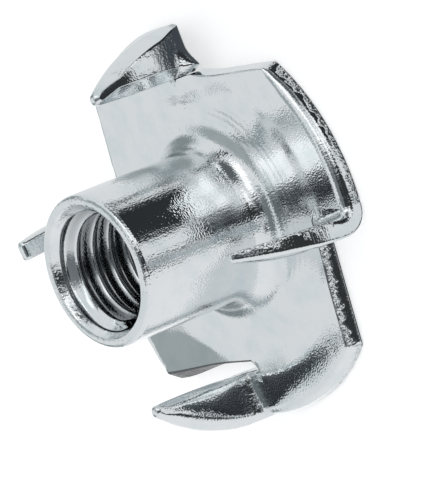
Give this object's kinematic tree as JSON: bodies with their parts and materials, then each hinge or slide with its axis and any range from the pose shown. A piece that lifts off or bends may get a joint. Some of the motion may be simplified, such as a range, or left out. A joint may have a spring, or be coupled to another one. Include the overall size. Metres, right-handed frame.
{
  "type": "tee nut",
  "caption": "Pressed steel tee nut: round flange with a drawn, threaded barrel and pointed prongs folded up from its edge, driven into wood to take a machine screw.",
  "frame": {"origin": "centre of the flange's underside, on the barrel's axis", "axes": "+Z along the barrel's axis from the flange to the barrel's mouth; the prongs stand near +X, +Y, -X and -Y"},
  "size_m": [0.0192, 0.0192, 0.0088],
  "materials": {
    "zinc_steel": "bright zinc plating, satin on the flange and glossy on the drawn and folded parts"
  },
  "bodies": {
    "root": {"tee_nut": "zinc_steel"}
  },
  "joints": []
}
